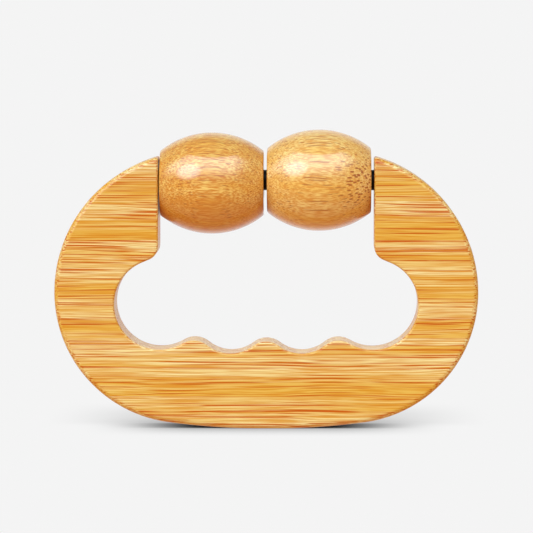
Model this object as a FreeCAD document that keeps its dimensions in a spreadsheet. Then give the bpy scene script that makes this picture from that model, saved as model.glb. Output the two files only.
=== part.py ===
import FreeCAD, Part
import math
import os

import Sketcher
from FreeCAD import Vector

# A hand-held massage roller: a C-shaped handle board glued up from bamboo strips,
# with two barrel-shaped rollers loose on one steel rod between its arms.
# Frame: X runs along the rod, Y through the board's thickness, Z is up.
# The origin is at the middle of the small flat that the board stands on.

SIZES = {
    # handle board outline
    "board_width": 145,
    "board_height": 94.6,
    "board_thickness": 20,
    "base_bow_radius": 260,
    "shoulder_ease": 3.3,
    "foot_flat_width": 20,
    "outer_round": 2,
    "inner_round": 0.8,
    # hand slot and open top
    "arm_width": 35.6,
    "throat_radius": 5,
    "throat_slope": 22.5,
    "lobe_radius": 15.5,
    "lobe_inset": 0.45,
    "lobe_height": 42.5,
    "grip_depth": 25.7,
    "finger_radius": 12.5,
    "ridge_radius": 7.5,
    # glue joints between the bamboo strips
    "first_joint_height": 4.3,
    "scallop_cover": 1.35,
    "ridge_cover": 0.8,
    # axle rod and its plug
    "axle_diameter": 7,
    "axle_below_top": 9.9,
    "axle_cover": 7.5,
    "axle_chamfer": 0.5,
    # rollers
    "roller_diameter": 34.8,
    "roller_end_diameter": 22,
    "roller_edge_round": 1.2,
    "roller_bore_slack": 2.2,
    "bore_chamfer": 0.5,
    "left_arm_clearance": 0.35,
    "middle_clearance": 1.1,
    "right_arm_clearance": 1,
    "left_roller_drop": 1.05,
    "right_roller_drop": 0.05,
}

GRIP_STRIPS = 5
ARM_STRIPS = 9

START = 1
END = 2
CENTRE = 3
ORIGIN = -1
HORIZONTAL_AXIS = -1
VERTICAL_AXIS = -2
NEARLY = 1e-4

doc = FreeCAD.newDocument("massage_roller")
sheet = doc.addObject("Spreadsheet::Sheet", "sizes")
for row, (alias, value) in enumerate(SIZES.items(), start=1):
    sheet.set(f"A{row}", alias)
    sheet.set(f"B{row}", str(value))
    sheet.setAlias(f"B{row}", alias)
doc.recompute()


def size(alias):
    """The number in the sheet's cell of that name."""
    return float(sheet.get(alias))


# Lengths that follow from the sheet, as expressions for the features.
# The side arc touches the bowed base and ends at the widest line, where it hands over to
# the wider shoulder arc. That one reaches the board's full height, which settles the
# side arc's radius.
BASE_CENTRE_Z = "sqrt(sizes.base_bow_radius^2 - sizes.foot_flat_width^2 / 4)"
BOW_SQUARES = "(sizes.base_bow_radius^2 - sizes.board_width^2 / 4)"
BOW_SLACK = "(2 * sizes.base_bow_radius - sizes.board_width)"
CREST_DROP = f"({BASE_CENTRE_Z} + sizes.shoulder_ease - sizes.board_height)"
HALF_SUM = f"({BOW_SLACK} / 2 + {CREST_DROP})"
SIDE_RADIUS = f"(sqrt({HALF_SUM}^2 - {CREST_DROP}^2 + {BOW_SQUARES}) - {HALF_SUM})"
SIDE_X = f"(sizes.board_width / 2 - {SIDE_RADIUS})"
SHOULDER_RADIUS = f"({SIDE_RADIUS} + sizes.shoulder_ease)"
SHOULDER_X = f"({SIDE_X} - sizes.shoulder_ease)"

HALF_GAP = "(sizes.board_width / 2 - sizes.arm_width)"
LOBE_X = f"({HALF_GAP} - sizes.lobe_inset)"
FINGER_X = f"({LOBE_X} / 3)"
FINGER_Z = "(sizes.grip_depth + sizes.finger_radius)"

AXLE_Z = "(sizes.board_height - sizes.axle_below_top)"
AXLE_OVER_SHOULDER = f"({SHOULDER_RADIUS} - sizes.axle_below_top)"
ARM_EDGE_X = f"({SHOULDER_X} + sqrt({SHOULDER_RADIUS}^2 - {AXLE_OVER_SHOULDER}^2))"
AXLE_END_X = f"({ARM_EDGE_X} - sizes.axle_cover)"

CLEARANCES = "(sizes.left_arm_clearance + sizes.middle_clearance + sizes.right_arm_clearance)"
ROLLER_LENGTH = f"({HALF_GAP} - {CLEARANCES} / 2)"
BORE_RADIUS = "((sizes.axle_diameter + sizes.roller_bore_slack) / 2)"
BARREL_RISE = "((sizes.roller_diameter - sizes.roller_end_diameter) / 2)"
BARREL_RADIUS = f"(({BARREL_RISE}^2 + {ROLLER_LENGTH}^2 / 4) / (2 * {BARREL_RISE}))"

# The top full-width strip holds the whole scalloped edge, from a joint just under the
# deepest scallop to a joint just over the highest ridge.
DEEPEST_SCALLOP = "min(sizes.grip_depth; sizes.lobe_height - sizes.lobe_radius)"
SCALLOP_JOINT = f"({DEEPEST_SCALLOP} - sizes.scallop_cover)"
HIGHEST_RIDGE = "max(slot_outline.Constraints.outer_ridge; slot_outline.Constraints.middle_ridge)"
RIDGE_JOINT = f"({HIGHEST_RIDGE} / 1 mm + sizes.ridge_radius + sizes.ridge_cover)"


def worked_out(expression):
    """The value of an expression over the sheet's cells."""
    return float(sheet.evalExpression(expression))


# Sketch helpers.


def origin_plane(body, role):
    return next(plane for plane in body.Origin.OriginFeatures if plane.Role == role)


def new_sketch(body, name, role):
    sketch = body.newObject("Sketcher::SketchObject", name)
    sketch.AttachmentSupport = [(origin_plane(body, role), "")]
    sketch.MapMode = "FlatFace"
    return sketch


def bind(sketch, expression, kind, *where):
    """Adds a sizing constraint whose value follows an expression."""
    value = worked_out(expression)
    if kind == "Angle":
        value = math.radians(value)
    index = sketch.addConstraint(Sketcher.Constraint(kind, *where, value))
    unit = " * 1 deg" if kind == "Angle" else " * 1 mm"
    sketch.setExpression(f"Constraints[{index}]", f"({expression}){unit}")


def read_height(sketch, name, arc, height):
    """Names the height of an arc's centre, which the sketch works out, for other features."""
    where = (ORIGIN, START, arc, CENTRE, height)
    index = sketch.addConstraint(Sketcher.Constraint("DistanceY", *where))
    sketch.setDriving(index, False)
    sketch.renameConstraint(index, name)


def tie(sketch, kind, *where):
    sketch.addConstraint(Sketcher.Constraint(kind, *where))


def add_line(sketch, start, end):
    return sketch.addGeometry(Part.LineSegment(Vector(*start, 0), Vector(*end, 0)))


def add_arc(sketch, centre, radius, start, end):
    """An arc that runs counter-clockwise from one point to the other."""
    circle = Part.Circle(Vector(*centre, 0), Vector(0, 0, 1), radius)
    first = math.atan2(start[1] - centre[1], start[0] - centre[0])
    last = math.atan2(end[1] - centre[1], end[0] - centre[0])
    if last <= first:
        last += 2 * math.pi
    return sketch.addGeometry(Part.ArcOfCircle(circle, first, last))


def meeting_point(centre_a, reach_a, centre_b, reach_b, side):
    """The point at the two given distances from two centres, left of the line
    from a to b where side is 1, and right of it where side is -1."""
    run = (centre_b[0] - centre_a[0], centre_b[1] - centre_a[1])
    span = math.hypot(*run)
    along = (reach_a**2 - reach_b**2 + span**2) / (2 * span)
    off = side * math.sqrt(reach_a**2 - along**2)
    x = centre_a[0] + (along * run[0] - off * run[1]) / span
    y = centre_a[1] + (along * run[1] + off * run[0]) / span
    return (x, y)


def toward(centre, radius, other):
    """The point on a circle in the direction of another point."""
    span = math.hypot(other[0] - centre[0], other[1] - centre[1])
    x = centre[0] + radius * (other[0] - centre[0]) / span
    y = centre[1] + radius * (other[1] - centre[1]) / span
    return (x, y)


def away(centre, radius, other):
    """The point on a circle on the far side from another point."""
    return toward(centre, radius, (2 * centre[0] - other[0], 2 * centre[1] - other[1]))


def mirrored(point):
    return (-point[0], point[1])


# Handle board.


def board_outline(body):
    """The closed outer outline: a bowed base, two round sides and two shoulders,
    with a straight top that the open top later cuts away."""
    sketch = new_sketch(body, "board_outline", "XZ_Plane")
    base_radius = size("base_bow_radius")
    side_radius = worked_out(SIDE_RADIUS)
    shoulder_radius = worked_out(SHOULDER_RADIUS)
    top = size("board_height")
    base = (0, worked_out(BASE_CENTRE_Z))
    side_x = worked_out(SIDE_X)
    side = (side_x, base[1] - math.sqrt((base_radius - side_radius) ** 2 - side_x**2))
    shoulder = (worked_out(SHOULDER_X), top - shoulder_radius)
    low = away(side, side_radius, base)
    high = away(side, side_radius, shoulder)
    crest = (shoulder[0], top)

    bow = add_arc(sketch, base, base_radius, mirrored(low), low)
    right_side = add_arc(sketch, side, side_radius, low, high)
    right_shoulder = add_arc(sketch, shoulder, shoulder_radius, high, crest)
    lid = add_line(sketch, crest, mirrored(crest))
    left_shoulder = add_arc(
        sketch, mirrored(shoulder), shoulder_radius, mirrored(crest), mirrored(high)
    )
    left_side = add_arc(sketch, mirrored(side), side_radius, mirrored(high), mirrored(low))
    ring = [bow, right_side, right_shoulder, lid, left_shoulder, left_side]
    for here, following in zip(ring, ring[1:] + ring[:1]):
        tie(sketch, "Tangent", here, END, following, START)

    bind(sketch, "sizes.base_bow_radius", "Radius", bow)
    tie(sketch, "PointOnObject", bow, CENTRE, VERTICAL_AXIS)
    bind(sketch, BASE_CENTRE_Z, "DistanceY", ORIGIN, START, bow, CENTRE)
    for piece in (right_side, left_side):
        bind(sketch, SIDE_RADIUS, "Radius", piece)
    for piece in (right_shoulder, left_shoulder):
        bind(sketch, SHOULDER_RADIUS, "Radius", piece)
    bind(sketch, SIDE_X, "DistanceX", ORIGIN, START, right_side, CENTRE)
    bind(sketch, SIDE_X, "DistanceX", left_side, CENTRE, ORIGIN, START)
    tie(sketch, "Horizontal", lid)
    bind(sketch, "sizes.board_height", "DistanceY", ORIGIN, START, lid, START)
    return sketch


def slot_outline(body):
    """The hand slot with its four finger scallops, open at the top between the arms."""
    sketch = new_sketch(body, "slot_outline", "XZ_Plane")
    above = size("board_height") + size("board_thickness")
    gap = worked_out(HALF_GAP)
    throat_radius = size("throat_radius")
    lobe_radius = size("lobe_radius")
    finger_radius = size("finger_radius")
    ridge_radius = size("ridge_radius")
    slope = math.radians(size("throat_slope"))
    normal = (math.sin(slope), math.cos(slope))
    lobe = (worked_out(LOBE_X), size("lobe_height"))
    finger = (worked_out(FINGER_X), worked_out(FINGER_Z))
    outer_ridge = meeting_point(
        finger, finger_radius + ridge_radius, lobe, lobe_radius + ridge_radius, -1
    )
    middle_reach = finger_radius + ridge_radius
    middle_ridge = (0, finger[1] - math.sqrt(middle_reach**2 - finger[0] ** 2))
    roof = (lobe[0] + lobe_radius * normal[0], lobe[1] + lobe_radius * normal[1])
    throat_x = gap + throat_radius
    eave_x = throat_x - throat_radius * normal[0]
    eave = (eave_x, roof[1] + (roof[0] - eave_x) * math.tan(slope))
    throat = (throat_x, eave[1] + throat_radius * normal[1])
    mouth = (gap, throat[1])
    lobe_end = toward(lobe, lobe_radius, outer_ridge)
    finger_outer = toward(finger, finger_radius, outer_ridge)
    finger_inner = toward(finger, finger_radius, middle_ridge)

    top = add_line(sketch, (-gap, above), (gap, above))
    middle = add_arc(sketch, middle_ridge, ridge_radius, finger_inner, mirrored(finger_inner))

    # right half, from the top of the arm down and round to the middle ridge
    arm_right = add_line(sketch, (gap, above), mouth)
    throat_right = add_arc(sketch, throat, throat_radius, mouth, eave)
    slope_right = add_line(sketch, eave, roof)
    lobe_right = add_arc(sketch, lobe, lobe_radius, lobe_end, roof)
    ridge_right = add_arc(sketch, outer_ridge, ridge_radius, lobe_end, finger_outer)
    finger_right = add_arc(sketch, finger, finger_radius, finger_inner, finger_outer)

    # left half, the same in mirror image
    arm_left = add_line(sketch, (-gap, above), mirrored(mouth))
    throat_left = add_arc(
        sketch, mirrored(throat), throat_radius, mirrored(eave), mirrored(mouth)
    )
    slope_left = add_line(sketch, mirrored(eave), mirrored(roof))
    lobe_left = add_arc(sketch, mirrored(lobe), lobe_radius, mirrored(roof), mirrored(lobe_end))
    ridge_left = add_arc(
        sketch, mirrored(outer_ridge), ridge_radius, mirrored(finger_outer), mirrored(lobe_end)
    )
    finger_left = add_arc(
        sketch, mirrored(finger), finger_radius, mirrored(finger_outer), mirrored(finger_inner)
    )

    tie(sketch, "Horizontal", top)
    tie(sketch, "Coincident", top, END, arm_right, START)
    tie(sketch, "Coincident", top, START, arm_left, START)
    tie(sketch, "Vertical", arm_right)
    tie(sketch, "Vertical", arm_left)
    smooth_joints = [
        (arm_right, END, throat_right, START),
        (throat_right, END, slope_right, START),
        (slope_right, END, lobe_right, END),
        (lobe_right, START, ridge_right, START),
        (ridge_right, END, finger_right, END),
        (finger_right, START, middle, START),
        (arm_left, END, throat_left, END),
        (throat_left, START, slope_left, START),
        (slope_left, END, lobe_left, START),
        (lobe_left, END, ridge_left, END),
        (ridge_left, START, finger_left, START),
        (finger_left, END, middle, END),
    ]
    for joint in smooth_joints:
        tie(sketch, "Tangent", *joint)

    bind(sketch, "sizes.board_height + sizes.board_thickness", "DistanceY",
         ORIGIN, START, top, START)
    bind(sketch, HALF_GAP, "DistanceX", ORIGIN, START, arm_right, START)
    bind(sketch, HALF_GAP, "DistanceX", arm_left, START, ORIGIN, START)
    radii = {
        "throat_radius": (throat_right, throat_left),
        "lobe_radius": (lobe_right, lobe_left),
        "ridge_radius": (ridge_right, middle, ridge_left),
        "finger_radius": (finger_right, finger_left),
    }
    for alias, arcs in radii.items():
        for arc in arcs:
            bind(sketch, f"sizes.{alias}", "Radius", arc)
    bind(sketch, "360 - sizes.throat_slope", "Angle", slope_right)
    bind(sketch, "180 + sizes.throat_slope", "Angle", slope_left)
    bind(sketch, LOBE_X, "DistanceX", ORIGIN, START, lobe_right, CENTRE)
    bind(sketch, LOBE_X, "DistanceX", lobe_left, CENTRE, ORIGIN, START)
    bind(sketch, FINGER_X, "DistanceX", ORIGIN, START, finger_right, CENTRE)
    bind(sketch, FINGER_X, "DistanceX", finger_left, CENTRE, ORIGIN, START)
    for lobe_arc, finger_arc in ((lobe_right, finger_right), (lobe_left, finger_left)):
        bind(sketch, "sizes.lobe_height", "DistanceY", ORIGIN, START, lobe_arc, CENTRE)
        bind(sketch, FINGER_Z, "DistanceY", ORIGIN, START, finger_arc, CENTRE)
    read_height(sketch, "outer_ridge", ridge_right, outer_ridge[1])
    read_height(sketch, "middle_ridge", middle, middle_ridge[1])
    return sketch


def edges_on_faces(shape, walls_only):
    """Names of the edges on the board's front and back faces; with walls_only, those
    that border a wall as deep as the board is thick."""
    thickness = size("board_thickness")
    names = []
    for number, edge in enumerate(shape.Edges, start=1):
        middle = edge.valueAt((edge.FirstParameter + edge.LastParameter) / 2)
        points = [vertex.Point for vertex in edge.Vertexes] + [middle]
        on_face = all(abs(abs(point.y) - thickness / 2) < NEARLY for point in points)
        faces = shape.ancestorsOfType(edge, Part.Face)
        at_wall = any(face.BoundBox.YLength > thickness - NEARLY for face in faces)
        if on_face and (at_wall or not walls_only):
            names.append(f"Edge{number}")
    return names


def round_edges(body, name, base, radius_alias, walls_only):
    """Rounds the edges where the board's two faces meet its walls."""
    doc.recompute()
    fillet = body.newObject("PartDesign::Fillet", name)
    fillet.Base = (base, edges_on_faces(base.Shape, walls_only))
    fillet.setExpression("Radius", f"sizes.{radius_alias}")
    return fillet


def cut_through(body, name, sketch):
    """Cuts a sketch right through the board, both ways from its middle plane."""
    pocket = body.newObject("PartDesign::Pocket", name)
    pocket.Profile = sketch
    pocket.SideType = "Symmetric"
    pocket.setExpression("Length", "sizes.board_thickness * 2")
    sketch.Visibility = False
    return pocket


def make_board():
    """The whole handle board, before it is parted into its strips."""
    body = doc.addObject("PartDesign::Body", "handle_board")
    outline = board_outline(body)
    pad = body.newObject("PartDesign::Pad", "board_pad")
    pad.Profile = outline
    pad.SideType = "Symmetric"
    pad.setExpression("Length", "sizes.board_thickness")
    round_edges(body, "outer_rounding", pad, "outer_round", walls_only=False)
    slot = cut_through(body, "hand_slot", slot_outline(body))
    round_edges(body, "inner_rounding", slot, "inner_round", walls_only=True)

    foot_sketch = new_sketch(body, "foot_outline", "XZ_Plane")
    corners = [(-1, 0), (1, 0), (1, -1), (-1, -1)]
    half = size("board_width") / 2
    points = [(x * half, z * size("outer_round")) for x, z in corners]
    sides = [add_line(foot_sketch, a, b) for a, b in zip(points, points[1:] + points[:1])]
    for here, following in zip(sides, sides[1:] + sides[:1]):
        tie(foot_sketch, "Coincident", here, END, following, START)
    tie(foot_sketch, "PointOnObject", sides[0], START, HORIZONTAL_AXIS)
    tie(foot_sketch, "Horizontal", sides[2])
    tie(foot_sketch, "Vertical", sides[1])
    tie(foot_sketch, "Vertical", sides[3])
    tie(foot_sketch, "Symmetric", sides[0], START, sides[0], END, VERTICAL_AXIS)
    bind(foot_sketch, "sizes.board_width", "DistanceX", sides[0], START, sides[0], END)
    bind(foot_sketch, "sizes.outer_round", "DistanceY", sides[1], END, sides[1], START)
    foot = cut_through(body, "foot_flat", foot_sketch)
    body.Tip = foot
    doc.recompute()
    return body


# Strips, axle and plug.


def cylinder_along_x(name, radius, start_x, end_x):
    """A cylinder on the axle's line, from one X to another."""
    cylinder = doc.addObject("Part::Cylinder", name)
    cylinder.Placement = FreeCAD.Placement(Vector(), FreeCAD.Rotation(Vector(0, 1, 0), 90))
    cylinder.setExpression("Radius", f"({radius}) * 1 mm")
    cylinder.setExpression("Height", f"({end_x} - {start_x}) * 1 mm")
    cylinder.setExpression("Placement.Base.x", f"({start_x}) * 1 mm")
    cylinder.setExpression("Placement.Base.z", f"{AXLE_Z} * 1 mm")
    return cylinder


def bore_board(board):
    """Drills the axle's hole in from the left edge, through the left arm and to a blind
    end in the right arm."""
    drill = cylinder_along_x(
        "axle_drill", "sizes.axle_diameter / 2", "(-sizes.board_width)", AXLE_END_X
    )
    bored = doc.addObject("Part::Cut", "bored_board")
    bored.Base = board
    bored.Tool = drill
    return bored


def make_strip(bored, label, low, high, start_x, length):
    """One bamboo strip: the board between two glue joints, over a stretch of its width."""
    slab = doc.addObject("Part::Box", f"{label}_slab")
    slab.setExpression("Length", f"{length} * 1 mm")
    slab.setExpression("Width", "sizes.board_thickness * 2 mm")
    slab.setExpression("Height", f"({high} - {low}) * 1 mm")
    slab.setExpression("Placement.Base.x", f"{start_x} * 1 mm")
    slab.setExpression("Placement.Base.y", "-sizes.board_thickness * 1 mm")
    slab.setExpression("Placement.Base.z", f"{low} * 1 mm")
    strip = doc.addObject("Part::Common", label)
    strip.Base = bored
    strip.Tool = slab
    return strip


def make_strips(bored):
    """Full-width strips under the joint over the ridges, then a left and a right strip at
    each level of the arms. One joint lies at the axle's height, so the hole for the axle
    is half in the strip below and half in the strip above."""
    strips = []
    below = "(-sizes.board_thickness)"
    above = "(sizes.board_height + sizes.board_thickness)"
    base_strips = GRIP_STRIPS - 1
    base_rise = f"({SCALLOP_JOINT} - sizes.first_joint_height) / {base_strips - 1}"
    grip_joints = [f"(sizes.first_joint_height + {step} * {base_rise})"
                   for step in range(base_strips)] + [RIDGE_JOINT]
    for number, (low, high) in enumerate(zip([below] + grip_joints, grip_joints), start=1):
        strips.append(make_strip(bored, f"grip_strip_{number}", low, high,
                                 "(-sizes.board_width)", "(2 * sizes.board_width)"))
    arm_steps = ARM_STRIPS - 1
    arm_rise = f"({AXLE_Z} - {RIDGE_JOINT}) / {arm_steps}"
    arm_joints = [f"({RIDGE_JOINT} + {step} * {arm_rise})" for step in range(ARM_STRIPS)]
    for number, (low, high) in enumerate(zip(arm_joints, arm_joints[1:] + [above]), start=1):
        for side, start_x in (("left", "(-sizes.board_width)"), ("right", "0")):
            strips.append(make_strip(bored, f"{side}_arm_strip_{number}", low, high,
                                     start_x, "sizes.board_width"))
    return strips


def make_plug(board):
    """The bamboo plug that closes the axle's hole, flush with the left arm's edge."""
    rod = cylinder_along_x(
        "plug_rod", "sizes.axle_diameter / 2", "(-sizes.board_width)", f"(-{AXLE_END_X})"
    )
    plug = doc.addObject("Part::Common", "axle_plug")
    plug.Base = board
    plug.Tool = rod
    return plug


def make_axle():
    """The steel rod, pressed into both arms, with a small chamfer on each end."""
    body = doc.addObject("PartDesign::Body", "axle")
    sketch = new_sketch(body, "axle_section", "YZ_Plane")
    radius = size("axle_diameter") / 2
    circle = sketch.addGeometry(Part.Circle(Vector(), Vector(0, 0, 1), radius))
    tie(sketch, "Coincident", circle, CENTRE, ORIGIN, START)
    bind(sketch, "sizes.axle_diameter / 2", "Radius", circle)
    pad = body.newObject("PartDesign::Pad", "axle_pad")
    pad.Profile = sketch
    pad.SideType = "Symmetric"
    pad.setExpression("Length", f"2 * {AXLE_END_X} * 1 mm")
    doc.recompute()
    chamfer = body.newObject("PartDesign::Chamfer", "axle_ends")
    chamfer.Base = (pad, round_edge_names(pad.Shape))
    chamfer.setExpression("Size", "sizes.axle_chamfer * 1 mm")
    body.setExpression("Placement.Base.z", f"{AXLE_Z} * 1 mm")
    return body


def round_edge_names(shape, wanted=lambda radius: True):
    """Names of the full circular edges whose radius passes a test."""
    names = []
    for number, edge in enumerate(shape.Edges, start=1):
        if isinstance(edge.Curve, Part.Circle) and edge.isClosed() and wanted(edge.Curve.Radius):
            names.append(f"Edge{number}")
    return names


# Rollers.


def make_roller(label, centre_x, drop):
    """A barrel turned about its own bore, hanging low on the rod by the bore's slack."""
    body = doc.addObject("PartDesign::Body", label)
    sketch = new_sketch(body, f"{label}_profile", "XZ_Plane")
    half = worked_out(ROLLER_LENGTH) / 2
    bore = worked_out(BORE_RADIUS)
    rim = size("roller_end_diameter") / 2
    barrel_radius = worked_out(BARREL_RADIUS)
    barrel_centre = (0, size("roller_diameter") / 2 - barrel_radius)
    bore_line = add_line(sketch, (-half, bore), (half, bore))
    right_end = add_line(sketch, (half, bore), (half, rim))
    barrel = add_arc(sketch, barrel_centre, barrel_radius, (half, rim), (-half, rim))
    left_end = add_line(sketch, (-half, rim), (-half, bore))
    ring = [bore_line, right_end, barrel, left_end]
    for here, following in zip(ring, ring[1:] + ring[:1]):
        tie(sketch, "Coincident", here, END, following, START)
    tie(sketch, "Horizontal", bore_line)
    tie(sketch, "Vertical", right_end)
    tie(sketch, "Vertical", left_end)
    tie(sketch, "PointOnObject", barrel, CENTRE, VERTICAL_AXIS)
    bind(sketch, BARREL_RADIUS, "Radius", barrel)
    bind(sketch, f"{ROLLER_LENGTH} / 2", "DistanceX", ORIGIN, START, bore_line, END)
    bind(sketch, BORE_RADIUS, "DistanceY", ORIGIN, START, bore_line, START)
    bind(sketch, "sizes.roller_end_diameter / 2", "DistanceY", ORIGIN, START, barrel, START)

    turned = body.newObject("PartDesign::Revolution", f"{label}_turning")
    turned.Profile = sketch
    turned.ReferenceAxis = (sketch, ["H_Axis"])
    turned.Angle = 360
    doc.recompute()
    middle = (bore + rim) / 2
    rims = body.newObject("PartDesign::Fillet", f"{label}_rims")
    rims.Base = (turned, round_edge_names(turned.Shape, lambda radius: radius > middle))
    rims.setExpression("Radius", "sizes.roller_edge_round * 1 mm")
    doc.recompute()
    mouths = body.newObject("PartDesign::Chamfer", f"{label}_bore_mouths")
    mouths.Base = (rims, round_edge_names(rims.Shape, lambda radius: radius < bore + NEARLY))
    mouths.setExpression("Size", "sizes.bore_chamfer * 1 mm")
    body.setExpression("Placement.Base.x", f"({centre_x}) * 1 mm")
    body.setExpression("Placement.Base.z", f"({AXLE_Z} - {drop}) * 1 mm")
    return body


# The whole roller.

board = make_board()
bored_board = bore_board(board)
subparts = make_strips(bored_board)
subparts.append(make_plug(board))
subparts.append(make_axle())
left_x = f"sizes.left_arm_clearance + {ROLLER_LENGTH} / 2 - {HALF_GAP}"
right_x = f"{HALF_GAP} - sizes.right_arm_clearance - {ROLLER_LENGTH} / 2"
subparts.append(make_roller("roller_left", left_x, "sizes.left_roller_drop"))
subparts.append(make_roller("roller_right", right_x, "sizes.right_roller_drop"))
doc.recompute()

for item in doc.Objects:
    if "Invalid" in item.State or "Error" in item.State:
        raise RuntimeError(f"{item.Label} failed: {item.getStatusString()}")
for subpart in subparts:
    if subpart.Shape.isNull() or not subpart.Shape.isValid():
        raise RuntimeError(f"{subpart.Label} has no valid shape")

os.makedirs("parts", exist_ok=True)
for subpart in subparts:
    subpart.Shape.exportStep(f"parts/{subpart.Label}.step")
    box = subpart.Shape.optimalBoundingBox(False)
    print(f"{subpart.Label}: {len(subpart.Shape.Solids)} solid, {subpart.Shape.Volume:.1f} mm3,"
          f" z {box.ZMin:.2f} to {box.ZMax:.2f}")
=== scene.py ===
import math
import random

import bpy
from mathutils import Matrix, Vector


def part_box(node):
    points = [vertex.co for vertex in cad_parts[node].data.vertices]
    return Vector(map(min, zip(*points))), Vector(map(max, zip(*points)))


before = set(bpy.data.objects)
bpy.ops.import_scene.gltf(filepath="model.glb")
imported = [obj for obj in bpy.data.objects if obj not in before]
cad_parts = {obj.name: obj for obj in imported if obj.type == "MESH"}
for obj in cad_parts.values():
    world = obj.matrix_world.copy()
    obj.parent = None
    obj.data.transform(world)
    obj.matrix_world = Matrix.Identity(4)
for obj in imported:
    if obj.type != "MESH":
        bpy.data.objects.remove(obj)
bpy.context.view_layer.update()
print("frame loaded:", len(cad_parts), "nodes")

mm = 0.001
scene = bpy.context.scene
scene.view_settings.view_transform = "Standard"


# One node tree, with short calls for the nodes used here.
class Desk:
    def __init__(self, tree):
        self.tree = tree
        self.tree.nodes.clear()

    def put(self, kind, inputs=None, **settings):
        node = self.tree.nodes.new(kind)
        for name, value in settings.items():
            setattr(node, name, value)
        for name, value in (inputs or {}).items():
            self.feed(node.inputs[name], value)
        return node

    def feed(self, socket, value):
        if isinstance(value, bpy.types.NodeSocket):
            self.tree.links.new(value, socket)
        else:
            socket.default_value = value

    def calc(self, operation, a, b=0.0, c=0.0, clamp=False):
        node = self.put("ShaderNodeMath", {0: a, 1: b, 2: c}, operation=operation, use_clamp=clamp)
        return node.outputs[0]

    def vector(self, operation, a, b):
        node = self.put("ShaderNodeVectorMath", {0: a, 1: b}, operation=operation)
        return node.outputs["Value" if operation == "DOT_PRODUCT" else "Vector"]

    def scale(self, vector, amount):
        inputs = {0: vector, "Scale": amount}
        return self.put("ShaderNodeVectorMath", inputs, operation="SCALE").outputs["Vector"]

    def smooth(self, value, low, high, start=0.0, end=1.0):
        inputs = {"Value": value, "From Min": low, "From Max": high, "To Min": start, "To Max": end}
        return self.put("ShaderNodeMapRange", inputs, interpolation_type="SMOOTHSTEP").outputs["Result"]

    # colour a where the factor is 0, colour b where it is 1
    def blend(self, factor, a, b):
        node = self.put("ShaderNodeMix", {0: factor, 6: a, 7: b}, data_type="RGBA")
        return node.outputs[2]

    def axes(self, vector):
        return self.put("ShaderNodeSeparateXYZ", {0: vector}).outputs

    def join(self, x, y, z):
        return self.put("ShaderNodeCombineXYZ", {0: x, 1: y, 2: z}).outputs[0]

    def noise(self, where, scale=1.0, detail=2.0):
        inputs = {"Vector": where, "Scale": scale, "Detail": detail}
        return self.put("ShaderNodeTexNoise", inputs).outputs["Fac"]

    # round cells across the grain: the same at every place along it
    def cells(self, where, scale):
        inputs = {"Vector": where, "Scale": scale}
        return self.put("ShaderNodeTexVoronoi", inputs, voronoi_dimensions="2D").outputs


# A screen colour, 0 to 255, as the linear colour that a shader takes.
def tint(red, green, blue):
    parts = [channel / 255 for channel in (red, green, blue)]
    return tuple(p / 12.92 if p <= 0.04045 else ((p + 0.055) / 1.055) ** 2.4 for p in parts) + (1.0,)


# What every piece of cane shares. Lengths are in mm. A pair is where a soft edge starts and ends.
cane = {
    "slowSpread": 0.02,  # how little the long wander changes across the fibres
    "quickSpread": (0.06, 0.12),
    "sideways": 0.6,  # share of the wander that goes through the board
    "streakShift": (7.3, 3.1),
    "sectionShift": (5.7, 2.3),
    "patchScale": 0.16,
    "fadeSeed": 40,
    "threadEdge": (0.42, 0.12),
    "hairEdge": (0.38, 0.62),
    "broadEdge": (0.3, 0.7),
    # painted shade on the rollers' lower half near their end faces: the next two
    "endShadeEdge": 0.4,
    "endShadeHeight": (0.55, 0.3),
    "glueEdge": (0.12, 0.02),
    "coreSunk": -0.6,
    "hairProud": 0.5,
    "reliefDepth": 0.05,
    "coreRoughness": 0.15,
}


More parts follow.
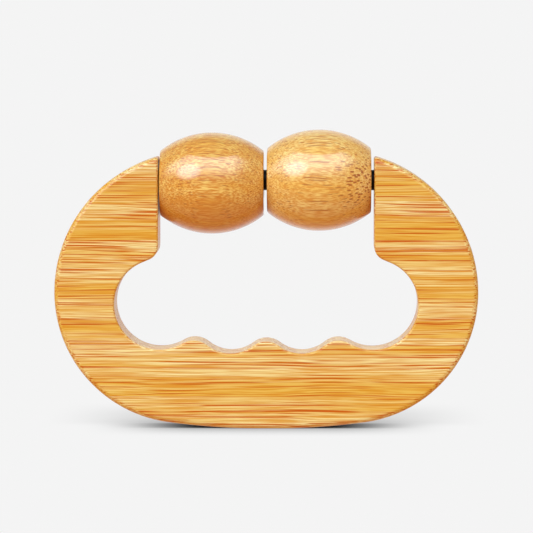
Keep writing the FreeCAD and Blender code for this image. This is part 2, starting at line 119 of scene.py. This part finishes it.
# Bamboo with its fibres along X. Low and high are the strip's glue joints in mm, shift moves the
# strip to its own stretch of cane, flip says which side the dense outer wall is on, tone makes the
# strip paler or darker, and ends are the X of a roller's two faces.
def bambooMaterial(name, look, low, high, shift, flip, tone=0.0, ends=None):
    material = bpy.data.materials.new(name)
    material.use_nodes = True
    desk = Desk(material.node_tree)
    place = desk.scale(desk.put("ShaderNodeTexCoord").outputs["Object"], 1 / mm)
    x, y, z = desk.axes(place)

    # the cane isn't quite straight: the fibres wander a little along their length
    slow = desk.join(desk.calc("MULTIPLY", x, 1 / look["wanderLength"]),
                     desk.calc("MULTIPLY", y, cane["slowSpread"]),
                     desk.calc("MULTIPLY_ADD", z, cane["slowSpread"], shift))
    slow = desk.calc("SUBTRACT", desk.noise(slow, detail=1), 0.5)
    wander = desk.calc("MULTIPLY", slow, look["wander"])
    quick = desk.vector("MULTIPLY", place, (1 / look["rippleLength"], *cane["quickSpread"]))
    quick = desk.calc("SUBTRACT", desk.noise(quick, detail=1), 0.5)
    wander = desk.calc("MULTIPLY_ADD", quick, look["ripple"], wander)
    zBent = desk.calc("ADD", z, wander)
    yBent = desk.calc("MULTIPLY_ADD", wander, cane["sideways"], y)
    yStreak, zStreak = (shift * share for share in cane["streakShift"])
    ySection, zSection = (shift * share for share in cane["sectionShift"])
    streaks = desk.join(desk.calc("MULTIPLY_ADD", x, 1 / look["streakLength"], shift),
                        desk.calc("ADD", yBent, yStreak), desk.calc("ADD", zBent, zStreak))
    section = desk.join(desk.calc("ADD", yBent, ySection), desk.calc("ADD", zBent, zSection), 0)

    # dense outer wall on one side of the strip, open and pale on the other
    through = desk.calc("DIVIDE", desk.calc("SUBTRACT", zBent, low), high - low)
    dense = desk.smooth(through, 1.0, 0.0) if flip else desk.smooth(through, 0.0, 1.0)
    patch = desk.noise(streaks, scale=cane["patchScale"])
    dense = desk.calc("MULTIPLY_ADD", dense, look["wallContrast"], desk.calc("SUBTRACT", patch, 0.5))
    heavy, share = 0.0, look["coreShare"]
    if "heavyLine" in look:  # a stretch where the bundles are thick and dark
        offLine = desk.calc("ABSOLUTE", desk.calc("SUBTRACT", z, look["heavyLine"]))
        nearLine = desk.smooth(offLine, *look["heavySpread"])
        heavy = desk.calc("MULTIPLY", desk.smooth(x, *look["heavyEnd"]), nearLine)
        dense = desk.calc("MULTIPLY_ADD", heavy, look["heavyGain"], dense)
        share = desk.calc("MULTIPLY_ADD", heavy, look["heavyShare"], share)

    # vascular bundles: dots across the fibres and streaks along them, each fading in and out
    bundles = desk.cells(section, scale=1 / look["bundleSpacing"])
    reach = desk.calc("MULTIPLY_ADD", dense, look["bundleGrowth"], look["bundleSize"])
    core = desk.smooth(desk.calc("DIVIDE", bundles["Distance"], reach), 1.0, look["bundleEdge"])
    red, green, blue = desk.axes(bundles["Color"])
    along = desk.join(desk.calc("MULTIPLY", x, 1 / look["fadeLength"]),
                      desk.calc("MULTIPLY_ADD", red, cane["fadeSeed"], shift),
                      desk.calc("MULTIPLY", green, cane["fadeSeed"]))
    fade = desk.smooth(desk.noise(along, detail=1), *look["fadeRange"], look["faintest"], 1.0)
    core = desk.calc("MULTIPLY", core, desk.calc("MAXIMUM", fade, heavy))
    fine = desk.cells(section, scale=1 / look["fineSpacing"])
    thread = desk.smooth(fine["Distance"], *cane["threadEdge"])
    thread = desk.calc("MULTIPLY", thread, desk.axes(fine["Color"])[1])
    hair = desk.noise(streaks, scale=1 / look["hairSize"])
    broad = desk.noise(streaks, scale=1 / look["broadSize"])

    # colour
    paleToMid = desk.smooth(broad, *(edge - tone for edge in cane["broadEdge"]))
    ground = desk.blend(paleToMid, look["pale"], look["mid"])
    if "lowShadeBand" in look:  # painted shade: the roller darker on its lower half, below its middle
        paintedLowShade = desk.smooth(z, *look["lowShadeBand"], 0.0, look["lowShadeShare"])
        ground = desk.blend(paintedLowShade, ground, look["streak"])
    hairline = desk.smooth(hair, *cane["hairEdge"], 0.0, look["hairShare"])
    ground = desk.blend(hairline, ground, look["streak"])
    ground = desk.blend(desk.calc("MULTIPLY", thread, look["threadShare"]), ground, look["streak"])
    colour = desk.blend(desk.calc("MULTIPLY", core, share), ground, look["dark"])
    if ends:
        # painted shade: each roller's lower half darker close to its end faces
        left, right = ends
        toEnd = desk.calc("MINIMUM", desk.calc("SUBTRACT", x, left), desk.calc("SUBTRACT", right, x))
        paintedEndShade = desk.calc("MULTIPLY", desk.smooth(toEnd, look["endShadeDepth"], cane["endShadeEdge"]),
                           desk.smooth(through, *cane["endShadeHeight"], 0.0, look["endShadeShare"]))
        colour = desk.blend(paintedEndShade, colour, look["dark"])
    edge = desk.calc("MINIMUM", desk.calc("ABSOLUTE", desk.calc("SUBTRACT", z, low)),
                     desk.calc("ABSOLUTE", desk.calc("SUBTRACT", z, high)))
    glue = desk.smooth(edge, *cane["glueEdge"], 0.0, look["glueShare"])
    colour = desk.blend(glue, colour, look["dark"])

    # relief and lacquer
    hairRelief = desk.calc("MULTIPLY", hair, cane["hairProud"])
    height = desk.calc("MULTIPLY_ADD", core, cane["coreSunk"], hairRelief)
    inputs = {"Height": height, "Strength": look["relief"], "Distance": cane["reliefDepth"] * mm}
    bump = desk.put("ShaderNodeBump", inputs)
    rough = desk.calc("MULTIPLY_ADD", core, cane["coreRoughness"], look["roughness"])
    shader = desk.put("ShaderNodeBsdfPrincipled", {
        "Base Color": colour, "Roughness": rough, "Normal": bump.outputs[0],
        "Coat Weight": look["coat"], "Coat Roughness": look["coatRoughness"], "Coat IOR": look["coatIor"],
        "Specular IOR Level": look["bareShine"],
    })
    desk.put("ShaderNodeOutputMaterial", {"Surface": shader.outputs[0]})
    return material


def paint(node, material):
    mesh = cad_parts[node].data
    mesh.materials.clear()
    mesh.materials.append(material)


handle = {
    "pale": tint(244, 222, 158),
    "mid": tint(230, 182, 82),
    "streak": tint(214, 134, 10),
    "dark": tint(198, 88, 0),
    "wander": 2.0,
    "wanderLength": 55.0,
    "ripple": 0.0,
    "rippleLength": 10.0,
    "streakLength": 60.0,
    "bundleSpacing": 0.72,
    "bundleSize": 0.28,
    "bundleGrowth": 0.12,
    "bundleEdge": 0.6,
    "fadeLength": 28.0,
    "fadeRange": (0.37, 0.56),
    "faintest": 0.2,
    "coreShare": 1.0,
    "fineSpacing": 0.45,
    "threadShare": 0.9,
    "hairSize": 0.3,
    "hairShare": 0.75,
    "broadSize": 3.0,
    "wallContrast": 1.0,
    "toneSpread": 0.15,
    "glueShare": 0.5,
    "plugShift": 41.0,
    "relief": 0.3,
    "roughness": 0.42,
    "bareShine": 0.12,
    "coat": 0.4,
    "coatIor": 1.6,
    "coatRoughness": 0.16,
    "seed": 4,
}

random.seed(handle["seed"])
levels = sorted({tuple(round(corner.z / mm, 3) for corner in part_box(node))
                 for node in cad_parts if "strip" in node})
for number, (low, high) in enumerate(levels):
    strip = bambooMaterial(f"handleBamboo{number + 1}", handle, low, high,
                           shift=random.uniform(2, 30), flip=random.random() < 0.5,
                           tone=random.uniform(-1, 1) * handle["toneSpread"])
    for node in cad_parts:
        if "strip" in node and abs(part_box(node)[0].z / mm - low) < 0.01:
            paint(node, strip)
plugLow, plugHigh = (corner.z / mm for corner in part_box("axle_plug"))
plug = bambooMaterial("plugBamboo", handle, plugLow, plugHigh, handle["plugShift"], flip=False)
paint("axle_plug", plug)
print("handle:", len(levels), "levels of bamboo strips")


rollers = {
    "pale": tint(244, 204, 112),
    "mid": tint(236, 178, 72),
    "streak": tint(210, 122, 24),
    "dark": tint(170, 76, 4),
    "wander": 2.5,
    "wanderLength": 30.0,
    "ripple": 0.7,
    "rippleLength": 7.0,
    "streakLength": 9.0,
    "bundleSpacing": 1.0,
    "bundleSize": 0.24,
    "bundleGrowth": 0.12,
    "bundleEdge": 0.5,
    "fadeLength": 9.0,
    "fadeRange": (0.4, 0.6),
    "faintest": 0.1,
    "coreShare": 0.65,
    "fineSpacing": 0.55,
    "threadShare": 1.0,
    "hairSize": 0.33,
    "hairShare": 0.85,
    "broadSize": 4.0,
    "wallContrast": 0.6,
    # painted shade: the next two darken each roller's lower half near its end faces
    "endShadeDepth": 3.0,
    "endShadeShare": 0.45,
    "glueShare": 0.0,
    "relief": 0.2,
    "roughness": 0.45,
    "bareShine": 0.2,
    "coat": 1.0,
    "coatIor": 1.75,
    "coatRoughness": 0.08,
}
# painted shade: the band pair darkens each roller below its middle
leftRoller = {**rollers, "mid": tint(232, 170, 64), "lowShadeBand": (84.0, 73.0), "lowShadeShare": 0.5,
              "hairShare": 0.95, "coatRoughness": 0.04, "relief": 0.1}
rightRoller = {**rollers, "pale": tint(248, 212, 132), "mid": tint(242, 192, 94),
               "streak": tint(218, 136, 40), "lowShadeBand": (80.0, 68.0), "lowShadeShare": 0.3,
               "coatRoughness": 0.1, "bundleSpacing": 1.1, "coreShare": 0.7, "heavyLine": 84.0,
               "heavyEnd": (23, 29), "heavySpread": (10, 5), "heavyGain": 0.5, "heavyShare": 0.3}

for node, look, shift in (("roller_left", leftRoller, 11.7), ("roller_right", rightRoller, 23.9)):
    low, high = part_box(node)
    ends = (low.x / mm, high.x / mm)
    paint(node, bambooMaterial(f"{node}Bamboo", look, low.z / mm, high.z / mm, shift, False, ends=ends))
print("rollers painted")


axle = {
    "black": tint(22, 18, 18),
    "worn": tint(34, 29, 28),
    "wornEdge": (0.4, 0.8),
    "turning": (6000, 150, 150),  # turning marks per metre, along the rod and round it
    "markDepth": 0.02,
    "markStrength": 0.2,
    "roughness": 0.38,
    "wear": 0.12,
    "metal": 0.6,
}


def blackSteel():
    material = bpy.data.materials.new("blackSteel")
    material.use_nodes = True
    desk = Desk(material.node_tree)
    place = desk.put("ShaderNodeTexCoord").outputs["Object"]
    turned = desk.noise(desk.vector("MULTIPLY", place, axle["turning"]))
    rough = desk.calc("MULTIPLY_ADD", turned, axle["wear"], axle["roughness"])
    inputs = {"Height": turned, "Strength": axle["markStrength"], "Distance": axle["markDepth"] * mm}
    bump = desk.put("ShaderNodeBump", inputs)
    colour = desk.blend(desk.smooth(turned, *axle["wornEdge"]), axle["black"], axle["worn"])
    shader = desk.put("ShaderNodeBsdfPrincipled", {
        "Base Color": colour, "Roughness": rough, "Metallic": axle["metal"], "Normal": bump.outputs[0],
    })
    desk.put("ShaderNodeOutputMaterial", {"Surface": shader.outputs[0]})
    return material


paint("axle", blackSteel())
print("axle painted")


# metres, millimetres of lens and sensor, and degrees
view = {
    "distance": 1.3,
    "height": 0.1335,
    "lens": 255.8,
    "sensor": 36,
    "farthest": 100,
    "tilt": 3.458,
    "azimuth": 0.9,
}

camera = bpy.data.objects.new("camera", bpy.data.cameras.new("camera"))
scene.collection.objects.link(camera)
turn = math.radians(view["azimuth"])
camera.location = (view["distance"] * math.sin(turn), -view["distance"] * math.cos(turn), view["height"])
camera.rotation_euler = (math.radians(90 - view["tilt"]), 0, turn)
camera.data.lens = view["lens"]
camera.data.sensor_width = view["sensor"]
camera.data.clip_end = view["farthest"]
scene.camera = camera

# A pair is where a soft edge starts and ends: along a direction's X, Y or Z in the sky, in degrees
# from the key light's middle, and in metres on the floor.
studio = {
    "backdrop": 0.9055,
    "backdropEdge": (0.5, 0.9),
    "floorHalf": 30,
    "contactReach": 0.026,
    "contactCurve": 1.15,
    "contactShade": 1.0,
    "contactWidth": (0.066, 0.022),
    "castShade": 0.25,
    "castWidth": (0.08, 0.03),
    "castNear": (-0.005, 0.015),
    "castFar": (0.09, 0.03),
    "front": 0.34,
    "below": (0.72, 0.46, 0.25, 1),
    "lampTint": (0.79, 0.98, 1.08),
    "horizonEdge": (-0.03, 0.0),
    "softboxTop": 64.0,
    "softboxRim": 0.02,
    "softboxBack": (-0.05, -0.35),
    "softboxFade": (0.1, 0.75),
    "softboxRight": (0.8, 0.4),
    "softboxGain": 2.85,
    "keyAzimuth": -37.0,
    "keyHeight": 27.0,
    "keySize": (21.0, 8.0),
    "keyGain": 3.7,
}


# Unit vector towards a light: azimuth 0 is the camera's side, positive to the right.
def direction(azimuth, height):
    a, h = math.radians(azimuth), math.radians(height)
    return Vector((math.sin(a) * math.cos(h), -math.cos(a) * math.cos(h), math.sin(h)))


def makeWorld():
    world = bpy.data.worlds.new("studio")
    world.use_nodes = True
    scene.world = world
    desk = Desk(world.node_tree)
    way = desk.put("ShaderNodeTexCoord").outputs["Generated"]
    x, y, z = desk.axes(way)
    # a wide soft panel over the camera with a clean top edge, and a soft key to its left
    top = math.sin(math.radians(studio["softboxTop"]))
    panel = desk.smooth(z, top, top - studio["softboxRim"])
    panel = desk.calc("MULTIPLY", desk.smooth(z, *studio["softboxFade"]), panel)
    panel = desk.calc("MULTIPLY", panel, desk.smooth(y, *studio["softboxBack"]))
    panel = desk.calc("MULTIPLY", panel, desk.smooth(x, *studio["softboxRight"]))
    key = desk.vector("DOT_PRODUCT", way, direction(studio["keyAzimuth"], studio["keyHeight"]))
    key = desk.smooth(key, *(math.cos(math.radians(edge)) for edge in studio["keySize"]))
    key = desk.calc("MULTIPLY", key, studio["keyGain"])
    lamps = desk.calc("MULTIPLY_ADD", panel, studio["softboxGain"], key)
    glow = desk.vector("ADD", desk.scale(studio["lampTint"], lamps), (studio["front"],) * 3)
    glow = desk.blend(desk.smooth(z, *studio["horizonEdge"]), studio["below"], glow)
    # the pale backdrop closes the room behind the object
    backdrop = (*(studio["backdrop"],) * 3, 1)
    glow = desk.blend(desk.smooth(y, *studio["backdropEdge"]), glow, backdrop)
    shade = desk.put("ShaderNodeBackground", {"Color": glow, "Strength": 1.0})
    desk.put("ShaderNodeOutputWorld", {"Surface": shade.outputs[0]})


def makeFloor():
    mesh = bpy.data.meshes.new("floor")
    half = studio["floorHalf"]
    corners = [(-half, -half, 0), (half, -half, 0), (half, half, 0), (-half, half, 0)]
    mesh.from_pydata(corners, [], [(0, 1, 2, 3)])
    floor = bpy.data.objects.new("floor", mesh)
    scene.collection.objects.link(floor)
    material = bpy.data.materials.new("floorPaint")
    material.use_nodes = True
    desk = Desk(material.node_tree)
    # an even glow, darker only where the base comes close
    near = desk.put("ShaderNodeAmbientOcclusion", {"Distance": studio["contactReach"]}).outputs["AO"]
    hidden = desk.calc("POWER", desk.calc("SUBTRACT", 1.0, near), studio["contactCurve"])
    x, y = desk.axes(desk.put("ShaderNodeTexCoord").outputs["Object"])[:2]
    fromMiddle = desk.calc("ABSOLUTE", x)
    shade = desk.smooth(fromMiddle, *studio["contactWidth"], 0.0, studio["contactShade"])
    lit = desk.calc("SUBTRACT", 1.0, desk.calc("MULTIPLY", hidden, shade), clamp=True)
    # the board's own soft shadow falls behind it
    cast = desk.smooth(fromMiddle, *studio["castWidth"], 0.0, studio["castShade"])
    cast = desk.calc("MULTIPLY", cast, desk.smooth(y, *studio["castNear"]))
    cast = desk.calc("MULTIPLY", cast, desk.smooth(y, *studio["castFar"]))
    lit = desk.calc("MULTIPLY", lit, desk.calc("SUBTRACT", 1.0, cast))
    level = desk.calc("MULTIPLY", lit, studio["backdrop"])
    glow = desk.put("ShaderNodeEmission", {"Strength": level})
    desk.put("ShaderNodeOutputMaterial", {"Surface": glow.outputs[0]})
    mesh.materials.append(material)
    floor.visible_diffuse = False
    floor.visible_glossy = False
    floor.visible_shadow = False


makeWorld()
makeFloor()
print("camera, floor and light set")
